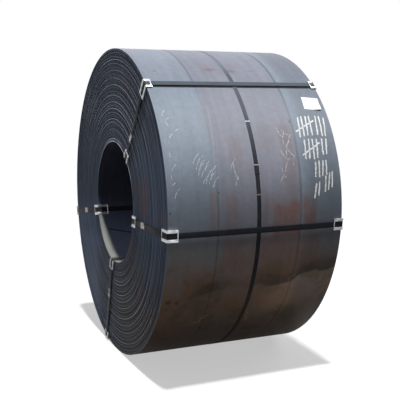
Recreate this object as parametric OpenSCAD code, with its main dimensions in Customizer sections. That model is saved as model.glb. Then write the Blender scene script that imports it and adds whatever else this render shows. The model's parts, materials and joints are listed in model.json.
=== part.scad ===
// Hot-rolled steel coil lying on its side, bound for transport.
// Four straps run through the eye over slotted corner guards, and one hoop runs round the girth.
// The axis is along X, the photographed end is at -X, and the front is at -Y.
// The origin is on the floor, under the middle of the coil.

/* [Coil] */
// Outer diameter of the coil
coil_d = 1905; // [1400:5:2100]
// Diameter of the eye, the bore that a mandrel goes through
eye_d = 762; // [508:1:900]
// Width of the strip, which is the length of the coil
strip_w = 1060; // [600:5:1600]
// Thickness of the strip
strip_t = 8; // [6:0.5:16]
// How far a lap's edge may lie behind the end of the coil
lap_play = 3; // [1:0.5:6]

/* [Eye straps] */
// Width of the strapping that runs through the eye
strap_w = 32; // [19:1:40]
// Thickness of that strapping
strap_t = 0.8; // [0.6:0.1:0.9]
// Inside radius of the strap's bends over the guards
bend_r = 5; // [3:0.5:6]
// Direction of the upper strap, in degrees up from the front
upper_angle = 51; // [45:1:65]
// Distance of the upper strap from the plane through the axis
upper_offset = -25; // [-40:1:80]
// Direction of the front strap
front_angle = 0; // [-12:1:8]
// Distance of the front strap from the plane through the axis
front_offset = -65; // [-90:1:60]
// Direction of the bottom strap
bottom_angle = -106; // [-130:1:-105]
// Distance of the bottom strap from the plane through the axis
bottom_offset = 58; // [-60:1:80]
// Direction of the back strap
back_angle = -172; // [-185:1:-155]
// Distance of the back strap from the plane through the axis
back_offset = 43; // [-80:1:80]

/* [Corner guards] */
// Width of a guard, across the strap
guard_w = 66; // [56:1:120]
// Thickness of a guard under the strap, on the girth and on the end
guard_t = 6; // [4:0.5:8]
// Thickness of a guard's leg in the eye, thin so that a mandrel passes
eye_leg_t = 0.9; // [0.5:0.1:0.9]
// Thickness of the end bars that cross over the strap
bar_t = 2; // [1:0.5:3]
// Length of an end bar along the strap
bar_len = 5; // [4:1:12]
// Leg of the upper strap's outer guards on the girth
upper_girth_leg = 30; // [25:1:110]
// Leg of the upper strap's outer guards on the end
upper_end_leg = 84; // [40:1:130]
// Leg of the front strap's outer guards on the girth
front_girth_leg = 55; // [25:1:110]
// Leg of the front strap's outer guards on the end
front_end_leg = 72; // [40:1:130]
// Leg of the bottom strap's outer guards on the girth
bottom_girth_leg = 110; // [25:1:120]
// Leg of the bottom strap's outer guards on the end
bottom_end_leg = 42; // [40:1:130]
// Leg of the back strap's outer guards on the girth
back_girth_leg = 110; // [25:1:120]
// Leg of the back strap's outer guards on the end
back_end_leg = 42; // [40:1:130]
// Leg of every inner guard in the eye
inner_eye_leg = 66; // [30:1:110]
// Leg of every inner guard on the end
inner_end_leg = 65; // [40:1:110]

/* [Hoop] */
// Width of the hoop round the girth
hoop_w = 25; // [16:1:40]
// Thickness of the hoop
hoop_t = 0.6; // [0.4:0.1:1]
// Place of the hoop along the coil, from the middle
hoop_x = 0; // [-150:1:150]
// Direction where the hoop's outer end stops, in degrees up from the front
hoop_end_angle = 33; // [26:1:38]
// How far the hoop's ends lap over each other, in degrees
hoop_lap = 26; // [16:1:30]
// Direction of the middle of the hoop's seal
hoop_seal_angle = 16; // [13:1:20]

/* [Seals] */
// Length of a seal along its strap
seal_len = 56; // [40:1:80]
// Thickness of a seal's sheet
seal_t = 1.2; // [0.6:0.1:1.5]
// Width of the lip that a seal folds behind its strap
seal_lip = 8; // [4:1:9]
// Depth of a seal's crimp notches
notch_d = 4; // [2:0.5:6]
// Gap from the upper strap's inner guard to its seal
upper_seal_gap = 85; // [20:1:220]
// Gap from the front strap's inner guard to its seal
front_seal_gap = 95; // [20:1:220]
// Gap from the bottom strap's inner guard to its seal
bottom_seal_gap = 148; // [20:1:220]
// Gap from the back strap's inner guard to its seal
back_seal_gap = 199; // [20:1:220]

/* [Label] */
// Width of the paper label, along the coil
label_w = 109; // [60:1:160]
// Height of the label, round the girth
label_h = 92; // [50:1:100]
// Thickness of the label
label_t = 0.4; // [0.2:0.1:0.8]
// Distance from the label to the far end of the coil
label_edge = 24; // [16:1:200]
// Direction of the label's middle, in degrees up from the front
label_angle = 40.4; // [38:0.1:41]
// Turn of the label on the girth, in degrees
label_turn = -6; // [-8:1:8]

/* [Fits] */
// Gap between pieces that lie on each other
seat_gap = 0.05; // [0.02:0.01:0.06]
// Gap beside a strap in its seal
side_gap = 0.5; // [0.2:0.1:1]
// Gap beside a strap in the channels of its guards
guard_gap = 3; // [1:0.5:5]

/* [Hidden] */
$fn = 256;
coil_r = coil_d / 2;
eye_r = eye_d / 2;
half_w = strip_w / 2;
axis_z = coil_r + seat_gap + hoop_t;

// Laps, counted from the eye outwards
laps = round((coil_r - eye_r) / strip_t);
lap_pitch = (coil_r - eye_r) / laps;
golden = 0.618;

// Heights of the strap's inner face above the strip: in the eye, on the girth and on the ends
eye_rise = seat_gap + eye_leg_t + seat_gap;
out_rise = seat_gap + guard_t + seat_gap;
girth_rise = max(out_rise, 3 * seat_gap + 2 * hoop_t);
// Heights of a guard's frame, level with the bars over the strap
frame_extra = strap_t + seat_gap + bar_t;
bend_steps = 6;
passage_w = strap_w + 2 * side_gap;
channel_w = strap_w + 2 * guard_gap;
reach = coil_r + strip_w;

// Straps: name, direction, offset, legs of the outer guards on the girth and on the end,
// gap to the seal, and the end that carries the seal
STRAPS = [
    ["upper", upper_angle, upper_offset, upper_girth_leg, upper_end_leg, upper_seal_gap, -1],
    ["front", front_angle, front_offset, front_girth_leg, front_end_leg, front_seal_gap, -1],
    ["bottom", bottom_angle, bottom_offset, bottom_girth_leg, bottom_end_leg, bottom_seal_gap, -1],
    ["back", back_angle, back_offset, back_girth_leg, back_end_leg, back_seal_gap, -1],
];
CORNERS = ["outer", "inner"];
ENDS = [["left", -1], ["right", 1]];

strap_colour = "#2c2e31";
guard_colour = "#d9dcdc";

// Recess of one lap's edge, as the laps shift a little while the strip is wound
function lap_recess(i, phase) =
    i == 0 || i == laps - 1 ? 0 : lap_play * ((i * golden + phase) % 1);

// Half section of the coil, with the edge of every lap on both ends
function coil_section() = concat(
    [for (i = [0:laps - 1], k = [0, 1])
        [eye_r + (i + k) * lap_pitch, half_w - lap_recess(i, 0.2)]],
    [for (i = [laps - 1:-1:0], k = [1, 0])
        [eye_r + (i + k) * lap_pitch, -half_w + lap_recess(i, 0.55)]]
);

// Quarter of a bend
function bend(c, r, from) =
    [for (k = [0:bend_steps]) c + r * [cos(from + 90 * k / bend_steps), sin(from + 90 * k / bend_steps)]];

// Outline round the strip's half section at given heights above it, with rounded corners
function wrap_outline(eye, girth, end, r) = concat(
    bend([coil_r + girth - r, half_w + end - r], r, 0),
    bend([eye_r - eye + r, half_w + end - r], r, 90),
    bend([eye_r - eye + r, -half_w - end + r], r, 180),
    bend([coil_r + girth - r, -half_w - end + r], r, 270)
);

// Lays a turned shape along X at the coil's height
module about_axis() {
    translate([0, 0, axis_z]) rotate([0, 90, 0]) children();
}

// Turns a shape drawn along local X to a direction round the coil
module towards(angle) {
    rotate([0, 0, -90 - angle]) children();
}

// Flat slice of a turned shape, at a strap's offset from the plane through the axis
module slice(width, offset) {
    intersection() {
        children();
        translate([0, -offset - width / 2, -reach]) cube([reach, width, 2 * reach]);
    }
}

// Half section of the strap, with extra room on every side for cutting passages
module strap_section(room) {
    difference() {
        polygon(wrap_outline(eye_rise + strap_t + room, girth_rise + strap_t + room,
            out_rise + strap_t + room, bend_r + strap_t + room));
        polygon(wrap_outline(eye_rise - room, girth_rise - room, out_rise - room, bend_r - room));
    }
}

module coil() {
    color("#6f757d") about_axis() rotate_extrude() polygon(coil_section());
}

// Hoop round the girth, whose ends lap over each other under its seal
module hoop_strap() {
    inside = coil_r + seat_gap;
    color(strap_colour) about_axis() towards(hoop_end_angle)
        translate([0, 0, hoop_x - hoop_w / 2]) linear_extrude(hoop_w)
            difference() {
                union() {
                    circle(inside + hoop_t);
                    intersection() {
                        circle(inside + 2 * hoop_t);
                        polygon([[0, 0], [reach, 0], reach * [cos(hoop_lap), sin(hoop_lap)]]);
                    }
                }
                circle(inside);
            }
}

// Saddle crimped over the hoop's lapped ends
module hoop_seal() {
    room_w = hoop_w + 2 * side_gap;
    color(strap_colour) about_axis() towards(hoop_seal_angle)
        slice(seal_len, 0)
            rotate_extrude() difference() {
                translate([coil_r + seat_gap, hoop_x - room_w / 2 - seal_t])
                    square([2 * hoop_t + seat_gap + seal_t, room_w + 2 * seal_t]);
                translate([coil_r, hoop_x - room_w / 2])
                    square([2 * seat_gap + 2 * hoop_t, room_w]);
            }
}

// Endless strap through the eye, flat on the ends and straight along the girth
module eye_strap(s) {
    color(strap_colour) about_axis() towards(s[1])
        slice(strap_w, s[2])
            rotate_extrude() strap_section(0);
}

// Snap-on seal: a channel whose lips fold behind the strap, with pairs of crimp notches
module strap_seal(s) {
    body_w = passage_w + 2 * seal_t;
    low = out_rise - seat_gap - seal_t;
    tall = strap_t + 2 * seat_gap + 2 * seal_t;
    middle = eye_r + inner_end_leg + s[5] + seal_len / 2;
    side = notch_d * sqrt(2);
    color(strap_colour) about_axis() towards(s[1]) mirror([0, 0, s[6] < 0 ? 1 : 0])
        translate([middle, -s[2], half_w + low])
            difference() {
                translate([-seal_len / 2, -body_w / 2, 0]) cube([seal_len, body_w, tall]);
                translate([-seal_len, -passage_w / 2, seal_t])
                    cube([2 * seal_len, passage_w, strap_t + 2 * seat_gap]);
                translate([-seal_len, seal_lip - passage_w / 2, -seal_t])
                    cube([2 * seal_len, passage_w - 2 * seal_lip, 3 * seal_t]);
                for (y = [-1, 1], k = [-1, 1])
                    translate([k * seal_len / 5, y * body_w / 2, -tall])
                        rotate([0, 0, 45])
                            translate([-side / 2, -side / 2, 0]) cube([side, side, 3 * tall]);
            }
}

// Window in the half section that holds one guard: from the leg's end to past the corner
module guard_window(outer, long_leg, end_leg, inset_long, inset_end) {
    past = guard_t + frame_extra + bend_r;
    r = outer ? coil_r : eye_r;
    translate([r, half_w]) mirror([outer ? 0 : 1, 0])
        translate([-end_leg + inset_end, -long_leg + inset_long])
            square([end_leg - inset_end + past, long_leg - inset_long + past]);
}

// Half section of a guard's frame: between the strip and the top of its bars
module guard_frame(outer, long_leg, end_leg) {
    eye = seat_gap + eye_leg_t;
    girth = girth_rise + frame_extra;
    end = out_rise + frame_extra;
    difference() {
        intersection() {
            guard_window(outer, long_leg, end_leg, 0, 0);
            polygon(wrap_outline(eye, girth, end, bend_r + frame_extra));
        }
        translate([eye_r - seat_gap, -half_w - seat_gap])
            square([coil_r - eye_r + 2 * seat_gap, strip_w + 2 * seat_gap]);
    }
}

// Half section of the open channel between a guard's bars, down to the strap's seat
module guard_channel(outer, long_leg, end_leg) {
    difference() {
        guard_window(outer, long_leg, end_leg, outer ? bar_len : 0, bar_len);
        polygon(wrap_outline(eye_rise - seat_gap, girth_rise - seat_gap, out_rise - seat_gap,
            bend_r - seat_gap));
    }
}

// Angle-shaped guard on an edge of the coil: the strap lies in its channel, under its end bars
module corner_guard(s, outer, end) {
    long_leg = outer ? s[3] : inner_eye_leg;
    end_leg = outer ? s[4] : inner_end_leg;
    color(guard_colour) about_axis() towards(s[1]) mirror([0, 0, end < 0 ? 1 : 0])
        difference() {
            slice(guard_w, s[2]) rotate_extrude() guard_frame(outer, long_leg, end_leg);
            slice(channel_w, s[2]) rotate_extrude() guard_channel(outer, long_leg, end_leg);
            slice(channel_w, s[2]) rotate_extrude() strap_section(seat_gap);
        }
}

// Label pasted on the girth near the far end, a little askew
module paper_label() {
    middle = half_w - label_edge - label_w / 2;
    color("#eceae2") about_axis() towards(label_angle)
        intersection() {
            rotate_extrude()
                translate([coil_r + seat_gap, middle - label_w]) square([label_t, 2 * label_w]);
            translate([0, 0, middle]) rotate([label_turn, 0, 0])
                translate([0, -label_h / 2, -label_w / 2]) cube([reach, label_h, label_w]);
        }
}

coil();
hoop_strap();
hoop_seal();
for (s = STRAPS)
    eye_strap(s);
for (s = STRAPS)
    strap_seal(s);
for (s = STRAPS, c = CORNERS, e = ENDS)
    corner_guard(s, c == "outer", e[1]);
paper_label();
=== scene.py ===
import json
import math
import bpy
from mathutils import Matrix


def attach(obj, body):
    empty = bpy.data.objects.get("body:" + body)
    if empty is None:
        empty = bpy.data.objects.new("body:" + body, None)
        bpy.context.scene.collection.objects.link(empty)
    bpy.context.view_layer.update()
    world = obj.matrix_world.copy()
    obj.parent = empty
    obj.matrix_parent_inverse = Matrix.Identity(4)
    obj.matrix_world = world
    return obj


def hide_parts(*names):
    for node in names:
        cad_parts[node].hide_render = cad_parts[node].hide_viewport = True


bl_info = {
    "name": "Strapped steel coil",
    "version": (1, 0, 0),
    "blender": (4, 5, 0),
    "location": "3D View > Sidebar > Steel Coil",
    "description": "Models and finishes a hot-rolled steel coil with straps, guards, label and chalk marks",
    "category": "Object",
}

import bmesh
import bpy
from mathutils import Matrix, Vector

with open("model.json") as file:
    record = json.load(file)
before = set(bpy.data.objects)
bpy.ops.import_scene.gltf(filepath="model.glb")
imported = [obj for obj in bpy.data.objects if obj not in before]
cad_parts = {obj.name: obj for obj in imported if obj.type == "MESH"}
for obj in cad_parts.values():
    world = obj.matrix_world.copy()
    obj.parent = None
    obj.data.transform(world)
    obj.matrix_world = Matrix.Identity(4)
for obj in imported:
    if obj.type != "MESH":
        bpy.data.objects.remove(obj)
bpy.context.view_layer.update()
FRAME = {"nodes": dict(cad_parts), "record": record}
EYE = FRAME["record"]["mounts"][0]
AXIS_Z = EYE["pos_m"][2]
MM = 0.001
# Points closer than this are one point
TOUCH = 0.01 * MM
GOLDEN = 0.618
# Degrees round the girth to each millimetre on it
GIRTH_DEGREE = 0.0602
# Straps through the eye: direction up from the front, distance from the plane through the axis in mm
STRAPS = {"upper": (51, -25), "front": (0, -65), "bottom": (-106, 58), "back": (-172, 43)}


# Properties that a user may change

def length_prop(name, description, millimetres):
    """A length, given in millimetres."""
    return bpy.props.FloatProperty(name=name, description=description, default=millimetres * MM,
                                   unit="LENGTH")


def angle_prop(name, description, degrees):
    """A direction or turn, given in degrees."""
    return bpy.props.FloatProperty(name=name, description=description, default=math.radians(degrees),
                                   subtype="ANGLE")


def power_prop(name, description, watts):
    """The power of a lamp."""
    return bpy.props.FloatProperty(name=name, description=description, default=watts, min=0,
                                   subtype="POWER")


def colour_prop(name, description, *rgb):
    """A colour, given as linear red, green and blue."""
    return bpy.props.FloatVectorProperty(name=name, description=description, default=rgb, size=3,
                                         min=0, max=1, subtype="COLOR")


class CoilSizes(bpy.types.PropertyGroup):
    girth_radius: length_prop("Girth radius", "Outer radius of the coil", 952.5)
    eye_radius: length_prop("Eye radius", "Radius of the bore", EYE["dims"]["r_mm"])
    half_width: length_prop("Half width", "Half of the strip's width", EYE["dims"]["length_mm"] / 2)
    laps: bpy.props.IntProperty(
        name="Laps", description="Turns of strip between the eye and the girth", default=71, min=10)
    lap_play: length_prop("Lap play", "How far a lap may lie behind the end", 3)
    lap_drift: length_prop("Lap drift", "How far a lap's edge wanders along its turn", 1.2)
    turn_steps: bpy.props.IntProperty(
        name="Turn steps", description="Facets round the coil", default=240, min=48)
    hoop_width: length_prop("Hoop width", "Width of the hoop round the girth", 25)
    hoop_thickness: length_prop("Hoop thickness", "Thickness of the hoop's strapping", 0.6)
    hoop_end: angle_prop("Hoop end", "Direction of the hoop's outer end, up from the front", 33)
    hoop_lap: angle_prop("Hoop lap", "How far the hoop's ends lap", 26)
    guard_width: length_prop("Guard width", "Width of a corner guard across its strap", 66)
    eye_leg: length_prop("Eye leg", "Leg of an inner guard along the eye", 66)
    seat_gap: length_prop("Seat gap", "Gap under what lies on the strip", 0.05)
    label_width: length_prop("Label width", "Width of the label along the coil", 109)
    label_height: length_prop("Label height", "Height of the label round the girth", 92)
    label_edge: length_prop("Label edge", "Distance from the label to the far end", 24)
    label_angle: angle_prop("Label direction", "Direction of the label, up from the front", 40.4)
    label_turn: angle_prop("Label turn", "Turn of the label on the girth", -6)
    label_lift: length_prop("Label lift", "How far the label's loose corner stands off", 7)
    chalk_line: length_prop("Chalk line", "Width of a chalk stroke", 8.5)


class CoilColours(bpy.types.PropertyGroup):
    scale: colour_prop("Mill scale", "Blue-grey scale on the strip", 0.315, 0.372, 0.455)
    scale_warm: colour_prop("Warm scale", "Warmer scale along the middle", 0.332, 0.34, 0.412)
    rust: colour_prop("Rust", "Thin red-brown rust", 0.35, 0.19, 0.16)
    # Also a painted reflection of the dark ground low on the girth and hoop
    earth: colour_prop("Earth dust", "Brown dust on the lower girth", 0.335, 0.2, 0.115)
    damp: colour_prop("Damp scale", "Dark patches low on the girth", 0.15, 0.132, 0.095)
    lap_edge: colour_prop("Lap edge", "Cut edges of the laps", 0.084, 0.112, 0.172)
    # Also the painted highlight on the eye's upper rim
    lap_rubbed_and_glint: colour_prop("Bright lap edge", "Rubbed edges of the laps", 0.37, 0.37, 0.385)
    strap: colour_prop("Strapping", "Black enamel of the strapping", 0.031, 0.035, 0.045)
    bare_steel: colour_prop("Rubbed steel", "Enamel rubbed down to steel", 0.33, 0.32, 0.3)
    guard: colour_prop("Guards", "Galvanised sheet of the guards", 0.43, 0.44, 0.45)
    guard_old: colour_prop("Weathered guards", "Dull sheet of the dirtier guards", 0.27, 0.28, 0.29)
    guard_dirt: colour_prop("Guard dirt", "Dirt on the guards", 0.16, 0.15, 0.14)
    eye_scale: colour_prop("Eye scale", "Scale on the eye's wall near the ends", 0.318, 0.33, 0.312)
    # Painted shade: the deep eye scale stands for the shade deep in the eye
    eye_deep_shade: colour_prop("Deep eye scale", "Blue-black scale deep in the eye", 0.07, 0.082, 0.125)
    paper: colour_prop("Paper", "Blank paper of the label", 0.8, 0.83, 0.845)
    mud: colour_prop("Dried mud", "Pale mud rubbed on the lower girth", 0.5, 0.4, 0.31)
    chalk: colour_prop("Chalk", "White chalk", 0.95, 0.955, 0.96)


class CoilStage(bpy.types.PropertyGroup):
    key_strength: bpy.props.FloatProperty(
        name="Key strength", description="Strength of the high key light", default=3, min=0)
    key_height: angle_prop("Key height", "Height of the key light, seen along the coil", 79)
    key_side: angle_prop("Key side", "Lean of the key light towards the open end", 3.3)
    fill: bpy.props.FloatProperty(
        name="Fill", description="Even light from all round", default=0.14, min=0)
    sheen_power: power_prop("Sheen power", "Soft box that shows in the gloss", 800)
    far_power: power_prop("Far power", "Soft lamp that shows the far end", 40)
    floor_grey: bpy.props.FloatProperty(
        name="Floor", description="Paleness of the floor", default=0.98, min=0, max=1)


# Modelling helpers

def clear_selection():
    """Leaves edit mode and deselects everything."""
    active = bpy.context.view_layer.objects.active
    if active is not None and active.mode != "OBJECT":
        bpy.ops.object.mode_set(mode="OBJECT")
    bpy.ops.object.select_all(action="DESELECT")


def only(piece):
    """Makes a piece the one selected and active object."""
    clear_selection()
    piece.select_set(True)
    bpy.context.view_layer.objects.active = piece


def named(name):
    """Names the primitive that was just added and puts its place into its mesh."""
    piece = bpy.context.active_object
    piece.name = name
    piece.data.name = name
    bpy.ops.object.transform_apply(location=True, rotation=True, scale=True)
    return piece


def edit_all():
    """Enters edit mode with everything selected."""
    bpy.ops.object.mode_set(mode="EDIT")
    bpy.ops.mesh.select_all(action="SELECT")


def spin_all(steps, angle):
    """In edit mode, spins everything about the coil's axis into a closed skin."""
    bpy.ops.mesh.select_all(action="SELECT")
    bpy.ops.mesh.spin(steps=steps, angle=angle, center=(0.0, 0.0, AXIS_Z), axis=(1.0, 0.0, 0.0))
    bpy.ops.mesh.select_all(action="SELECT")
    bpy.ops.mesh.remove_doubles(threshold=TOUCH)
    bpy.ops.mesh.normals_make_consistent(inside=False)


def apply_modifier(piece, kind, **settings):
    """Adds one modifier and applies it."""
    only(piece)
    bpy.ops.object.modifier_add(type=kind)
    modifier = piece.modifiers[-1]
    for key, value in settings.items():
        setattr(modifier, key, value)
    bpy.ops.object.modifier_apply(modifier=modifier.name)


def pick_vertices(piece, test):
    """In edit mode, selects the vertices whose place passes the test."""
    bpy.ops.mesh.select_mode(type="VERT")
    bpy.ops.mesh.select_all(action="DESELECT")
    mesh = bmesh.from_edit_mesh(piece.data)
    picked = [vertex for vertex in mesh.verts if test(vertex.co)]
    if not picked:
        raise RuntimeError("no vertices at the place to shape on " + piece.name)
    for vertex in picked:
        vertex.select_set(True)
    mesh.select_flush(True)
    bmesh.update_edit_mesh(piece.data)


def pick_faces(piece, test):
    """In edit mode, selects the faces whose middle passes the test."""
    bpy.ops.mesh.select_mode(type="FACE")
    bpy.ops.mesh.select_all(action="DESELECT")
    mesh = bmesh.from_edit_mesh(piece.data)
    for face in mesh.faces:
        face.select_set(test(face.calc_center_median()))
    bmesh.update_edit_mesh(piece.data)


def radius_of(place):
    """Distance of a place from the coil's axis."""
    return math.hypot(place[1], place[2] - AXIS_Z)


def on_girth(along, angle, height):
    """Place on the girth: along the axis, angle up from the front, height above the axis."""
    return Vector((along, -height * math.cos(angle), AXIS_Z + height * math.sin(angle)))


def outward(angle):
    """Direction out from the axis, at an angle up from the front."""
    return on_girth(0.0, angle, 1.0) - Vector((0.0, 0.0, AXIS_Z))


def facing(angle, lean):
    """Turn that lays a flat primitive on the girth, with a lean in its own plane."""
    tilt = Matrix.Rotation(math.pi / 2 - angle, 3, "X")
    return (tilt @ Matrix.Rotation(lean, 3, "Z")).to_euler()


def seat(piece, finishes, nodes=()):
    """Finishes a piece: materials, its body and the nodes that it stands for."""
    for finish in finishes:
        piece.data.materials.append(finish)
    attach(piece, "root")
    if nodes:
        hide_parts(*nodes)


def smooth(piece, degrees):
    """Smooth shading that keeps the sharp edges."""
    only(piece)
    bpy.ops.object.shade_smooth_by_angle(angle=math.radians(degrees))


def lay_on_coil(piece, gap):
    """Bends a flat piece onto the coil's skin, with a small gap under it."""
    apply_modifier(piece, "SHRINKWRAP", target=bpy.data.objects["wound_coil"], offset=gap,
                   wrap_method="NEAREST_SURFACEPOINT", wrap_mode="ABOVE_SURFACE")


def soft_copy(node, name, edge, clamp=True):
    """Merged copy of a node with its edges eased by a small bevel, clamped at short edges or not."""
    piece = bpy.data.objects.new(name, FRAME["nodes"][node].data.copy())
    piece.data.name = name
    piece.data.materials.clear()
    bpy.context.scene.collection.objects.link(piece)
    only(piece)
    edit_all()
    bpy.ops.mesh.remove_doubles(threshold=2 * TOUCH)
    bpy.ops.mesh.dissolve_limited(angle_limit=math.radians(0.2))
    apply_modifier(piece, "BEVEL", width=edge, segments=2, limit_method="ANGLE",
                   angle_limit=math.radians(50), use_clamp_overlap=clamp)
    edit_all()
    bpy.ops.mesh.remove_doubles(threshold=2 * TOUCH)
    bpy.ops.mesh.dissolve_degenerate(threshold=TOUCH)
    smooth(piece, 35)
    return piece


# Material helpers

class Finish:
    """One material built from nodes on Object coordinates."""

    def __init__(self, name, roughness, metallic, specular):
        self.material = bpy.data.materials.new(name)
        self.material.use_nodes = True
        self.tree = self.material.node_tree
        self.shader = self.tree.nodes["Principled BSDF"]
        self.shader.inputs["Roughness"].default_value = roughness
        self.shader.inputs["Metallic"].default_value = metallic
        self.shader.inputs["Specular IOR Level"].default_value = specular
        self.place = self.node("ShaderNodeTexCoord").outputs["Object"]
        parts = self.node("ShaderNodeSeparateXYZ")
        self.join(parts.inputs[0], self.place)
        self.x, self.y, self.z = parts.outputs
        self.up = self.sum(self.z, -AXIS_Z)
        self.front = self.times(self.y, -1.0)

    def node(self, kind):
        return self.tree.nodes.new(kind)

    def join(self, socket, value):
        """Links a socket's output, or sets a plain value."""
        if isinstance(value, bpy.types.NodeSocket):
            self.tree.links.new(value, socket)
        else:
            socket.default_value = value

    def math(self, operation, first, second=0.0):
        node = self.node("ShaderNodeMath")
        node.operation = operation
        for socket, value in zip(node.inputs, (first, second)):
            self.join(socket, value)
        return node.outputs[0]

    def sum(self, first, second):
        return self.math("ADD", first, second)

    def minus(self, first, second):
        return self.math("SUBTRACT", first, second)

    def most(self, first, second):
        return self.math("MAXIMUM", first, second)

    def away(self, value):
        """Distance from zero."""
        return self.math("ABSOLUTE", value)

    def times(self, first, *others):
        for other in others:
            first = self.math("MULTIPLY", first, other)
        return first

    def product(self, *ramps):
        """Several ramps multiplied, each given as its values."""
        return self.times(*(self.ramp(*values) for values in ramps))

    def angle(self):
        """Direction round the axis in degrees, up from the front."""
        return self.times(self.math("ARCTAN2", self.up, self.front), 180 / math.pi)

    def diagonal(self, first, second):
        """Length of two distances at a right angle."""
        return self.math("SQRT", self.sum(self.times(first, first), self.times(second, second)))

    def radius(self):
        """Distance from the axis."""
        return self.diagonal(self.up, self.y)

    def ramp(self, value, low, high, start=0.0, end=1.0):
        """Smooth step from start to end as the value goes from low to high."""
        node = self.node("ShaderNodeMapRange")
        node.interpolation_type = "SMOOTHSTEP"
        for key, part in (("Value", value), ("From Min", low), ("From Max", high), ("To Min", start),
                          ("To Max", end)):
            self.join(node.inputs[key], part)
        return node.outputs["Result"]

    def band(self, value, middle, half, edge):
        """1 within half of the middle, falling to 0 over the edge."""
        return self.ramp(self.away(self.minus(value, middle)), half, half + edge, 1.0, 0.0)

    def blot(self, angle, along, at_angle, half_along, half_angle):
        """Soft oval patch on the girth."""
        across = self.times(self.minus(self.x, along), 1 / half_along)
        around = self.times(self.minus(angle, at_angle), 1 / half_angle)
        return self.ramp(self.diagonal(across, around), 0.35, 1.15, 1.0, 0.0)

    def patch(self, along, angle, left, right, low, high):
        """Patch on the girth between two places along the coil and two directions."""
        soft, fade = 14 * MM, 2.2
        return self.product((along, left - soft, left + soft),
                            (along, right - soft, right + soft, 1.0, 0.0),
                            (angle, low - fade, low + fade),
                            (angle, high - fade, high + fade, 1.0, 0.0))

    def scaled(self, x, y, z):
        """Object coordinates stretched for a pattern."""
        node = self.node("ShaderNodeMapping")
        self.join(node.inputs["Vector"], self.place)
        node.inputs["Scale"].default_value = (x, y, z)
        return node.outputs[0]

    def noise(self, scale, detail=3.0, rough=0.55, vector=None):
        node = self.node("ShaderNodeTexNoise")
        self.join(node.inputs["Vector"], vector or self.place)
        node.inputs["Scale"].default_value = scale
        node.inputs["Detail"].default_value = detail
        node.inputs["Roughness"].default_value = rough
        return node.outputs["Fac"]

    def line_noise(self, kind, value):
        """Noise of one dimension along a value."""
        node = self.node(kind)
        node.noise_dimensions = "1D"
        self.join(node.inputs["W"], value)
        return node.outputs[0]

    def cells(self, scale):
        """Random grey of each cell, as in zinc spangle."""
        node = self.node("ShaderNodeTexVoronoi")
        self.join(node.inputs["Vector"], self.place)
        node.inputs["Scale"].default_value = scale
        return node.outputs["Color"]

    def mix(self, amount, first, second, blend="MIX"):
        node = self.node("ShaderNodeMix")
        node.data_type = "RGBA"
        node.blend_type = blend
        for index, value in ((0, amount), (6, first), (7, second)):
            if not isinstance(value, (bpy.types.NodeSocket, float)):
                value = (*value, 1.0)
            self.join(node.inputs[index], value)
        return node.outputs[2]

    def shade(self, colour, amount):
        """A colour darkened or lightened by a grey amount."""
        grey = self.node("ShaderNodeCombineColor")
        for socket in grey.inputs:
            self.join(socket, amount)
        return self.mix(1.0, colour, grey.outputs[0], "MULTIPLY")

    def bump(self, height, strength, distance):
        node = self.node("ShaderNodeBump")
        node.inputs["Strength"].default_value = strength
        node.inputs["Distance"].default_value = distance
        self.join(node.inputs["Height"], height)
        self.join(self.shader.inputs["Normal"], node.outputs[0])

    def paint(self, colour, roughness):
        self.join(self.shader.inputs["Base Color"], colour)
        self.join(self.shader.inputs["Roughness"], roughness)
        return self.material


# Finishes of the pieces

# Seams and the pale streak on the girth: place along the coil, and lean in metres per degree
LEFT_SEAM = -0.246
RIGHT_SEAM, RIGHT_LEAN = 0.2575, 0.00042
PALE_STREAK, PALE_LEAN = -0.2716, 0.00144
# Direction of the painted shadow line along the lower edge of the upper strap
STRAP_SHADOW_LINE = 48.2
# Painted shade of a crease in the eye: its direction at the middle of the coil, and its lean in degrees per
# metre
CREASE_SHADE, CREASE_SHADE_LEAN = -126.3, 37.8
# Rust on the girth: its two ends along the coil, its low and high direction, how thick it is
RUST = (
    (-0.293, -0.257, -4, 10, 0.5), (-0.2, -0.12, -4, 9, 0.34),
    (0.015, 0.11, -4, 7, 0.34), (0.095, 0.258, -7.5, 5.2, 0.84),
    (0.279, 0.359, -5, 6, 0.82), (-0.21, 0.03, -17, -6, 0.42),
    (-0.411, -0.245, -27.5, -18, 0.75), (-0.15, -0.07, 17, 27, 0.22),
    (0.04, 0.14, 22, 31, 0.2), (0.165, 0.255, 6, 31, 0.3),
    (-0.16, 0.06, 56, 63, 0.18), (0.025, 0.39, -22, -7, 0.48),
    (-0.4, -0.06, -40, -28, 0.45),
)
# Rounder rust on the far side: along the coil, direction, half width, half height in degrees
FAR_RUST = (
    (0.22, 116, 0.16, 9), (-0.26, 162, 0.12, 16), (-0.12, 150, 0.1, 7),
    (0.3, -172, 0.09, 12), (0.05, -130, 0.34, 16), (-0.36, 128, 0.07, 6),
)
# Dark spots on the girth: along the coil, direction, half width, half height in degrees, how dark
SPOTS = (
    (0.266, 32.8, 0.007, 0.7, 1.6), (-0.237, 8.9, 0.007, 0.5, 1.4), (-0.518, 3.5, 0.008, 0.9, 1.4),
    (0.251, 7.5, 0.005, 0.4, 1), (-0.49, -28, 0.022, 1.3, 1.9), (-0.44, -29.3, 0.014, 1, 1.9),
    (-0.445, 56.8, 0.016, 0.8, 0.9), (0.165, 58, 0.035, 1, 0.7), (-0.098, 58, 0.06, 1.6, 0.8),
    (0.03, 57, 0.04, 1.2, 0.8),
)


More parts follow.
